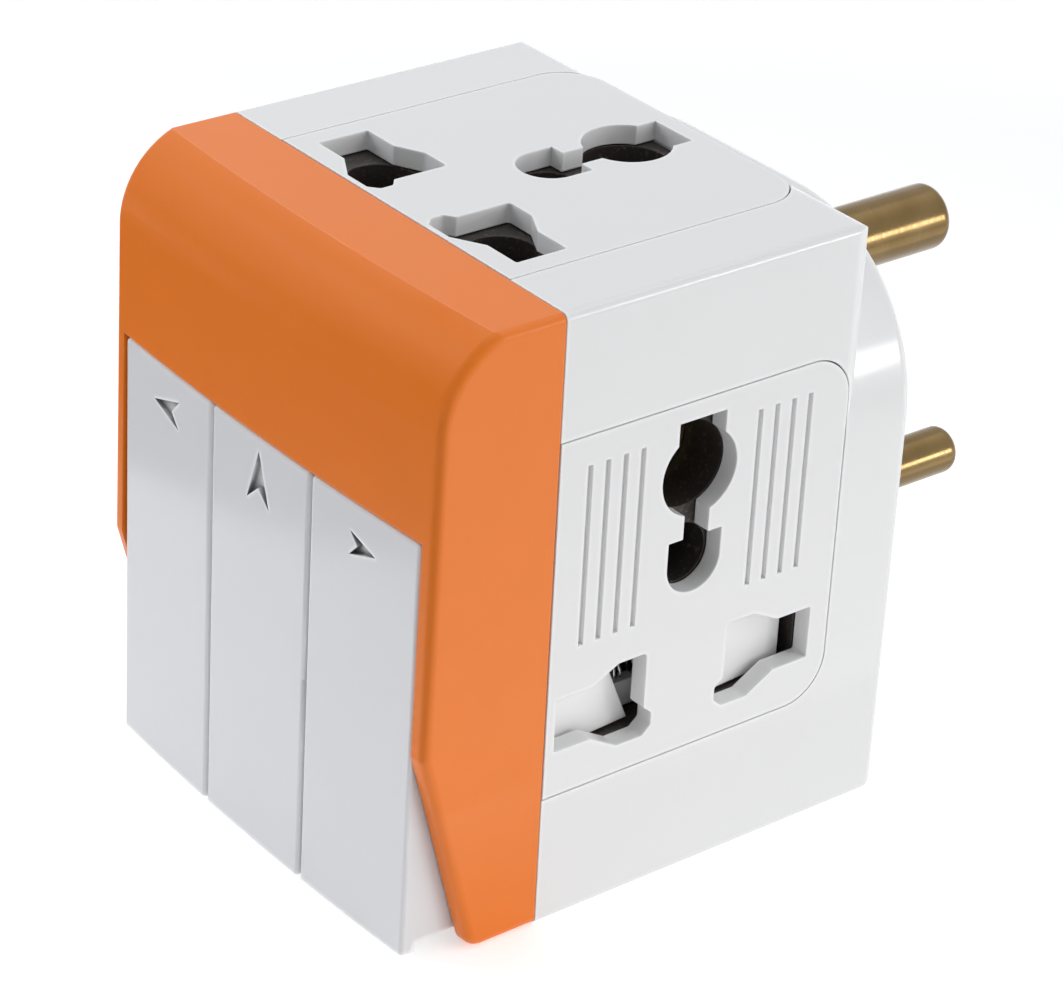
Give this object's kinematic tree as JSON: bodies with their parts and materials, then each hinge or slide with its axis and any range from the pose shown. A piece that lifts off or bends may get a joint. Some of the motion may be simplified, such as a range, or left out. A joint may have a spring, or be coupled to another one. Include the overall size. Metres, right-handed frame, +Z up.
{
  "type": "multi socket adapter",
  "caption": "Box-shaped plug adapter with round pins behind, a universal socket on each side and on top, and rocker switches in front.",
  "frame": {"origin": "on the resting face, on the middle plane, half way along the white housing walls", "axes": "+X across the case to the right-hand socket, +Y from the switches to the plug pins, +Z up"},
  "size_m": [0.053, 0.0849, 0.065],
  "materials": {
    "white_abs": "satin gloss",
    "key_abs": "satin gloss",
    "orange_abs": "satin gloss",
    "dark_phenolic": "matte",
    "shutter_plastic": "matte",
    "frame_plastic": "matte",
    "pin_brass": "turned",
    "strip_brass": "rolled",
    "spring_steel": "drawn"
  },
  "bodies": {
    "case": {"main_housing": "white_abs", "front_cover": "orange_abs", "pin_base": "white_abs", "socket_plate_right": "white_abs", "socket_plate_left": "white_abs", "socket_plate_top": "white_abs", "socket_base_right": "dark_phenolic", "socket_base_left": "dark_phenolic", "socket_base_top": "dark_phenolic", "shutter_spring_right": "spring_steel", "shutter_spring_left": "spring_steel", "switch_frame": "frame_plastic", "earth_busbar": "strip_brass", "neutral_busbar": "strip_brass", "line_busbar": "strip_brass", "line_contact_left": "strip_brass", "line_contact_top": "strip_brass", "line_contact_right": "strip_brass", "housing_screws": "spring_steel", "earth_pin": "pin_brass", "line_pin": "pin_brass", "neutral_pin": "pin_brass"},
    "key_left": {"switch_key_left": "key_abs", "plunger_left": "frame_plastic", "plunger_spring_left": "spring_steel"},
    "rocker_left": {"rocker_contact_left": "strip_brass"},
    "key_middle": {"switch_key_middle": "key_abs", "plunger_middle": "frame_plastic", "plunger_spring_middle": "spring_steel"},
    "rocker_middle": {"rocker_contact_middle": "strip_brass"},
    "key_right": {"switch_key_right": "key_abs", "plunger_right": "frame_plastic", "plunger_spring_right": "spring_steel"},
    "rocker_right": {"rocker_contact_right": "strip_brass"},
    "shutter_slide_left": {"shutter_left": "shutter_plastic"},
    "shutter_slide_right": {"shutter_right": "shutter_plastic"}
  },
  "joints": [
    {"name": "key_left_hinge", "type": "hinge", "parent": "case", "child": "key_left", "pos_m": [-0.01567, -0.0263, 0.033], "axis": [1, 0, 0], "range_deg": [0, 6]},
    {"name": "rocker_left_hinge", "type": "hinge", "parent": "case", "child": "rocker_left", "pos_m": [-0.01567, -0.0209, 0.033], "axis": [1, 0, 0], "range_deg": [-8, 0]},
    {"name": "key_middle_hinge", "type": "hinge", "parent": "case", "child": "key_middle", "pos_m": [0, -0.0263, 0.033], "axis": [1, 0, 0], "range_deg": [0, 6]},
    {"name": "rocker_middle_hinge", "type": "hinge", "parent": "case", "child": "rocker_middle", "pos_m": [0, -0.0209, 0.033], "axis": [1, 0, 0], "range_deg": [-8, 0]},
    {"name": "key_right_hinge", "type": "hinge", "parent": "case", "child": "key_right", "pos_m": [0.01567, -0.0263, 0.033], "axis": [1, 0, 0], "range_deg": [0, 6]},
    {"name": "rocker_right_hinge", "type": "hinge", "parent": "case", "child": "rocker_right", "pos_m": [0.01567, -0.0209, 0.033], "axis": [1, 0, 0], "range_deg": [-8, 0]},
    {"name": "shutter_left_slide", "type": "slide", "parent": "case", "child": "shutter_slide_left", "axis": [0, -1, 0], "range_m": [0, 0.0078], "stiffness_N_per_m": 60, "deforming": ["shutter_spring_left"]},
    {"name": "shutter_right_slide", "type": "slide", "parent": "case", "child": "shutter_slide_right", "axis": [0, -1, 0], "range_m": [0, 0.0078], "stiffness_N_per_m": 60, "deforming": ["shutter_spring_right"]}
  ],
  "couplings": [
    {"joint": "rocker_left_hinge", "follows": "key_left_hinge", "ratio": -1.3333},
    {"joint": "rocker_middle_hinge", "follows": "key_middle_hinge", "ratio": -1.3333},
    {"joint": "rocker_right_hinge", "follows": "key_right_hinge", "ratio": -1.3333}
  ]
}
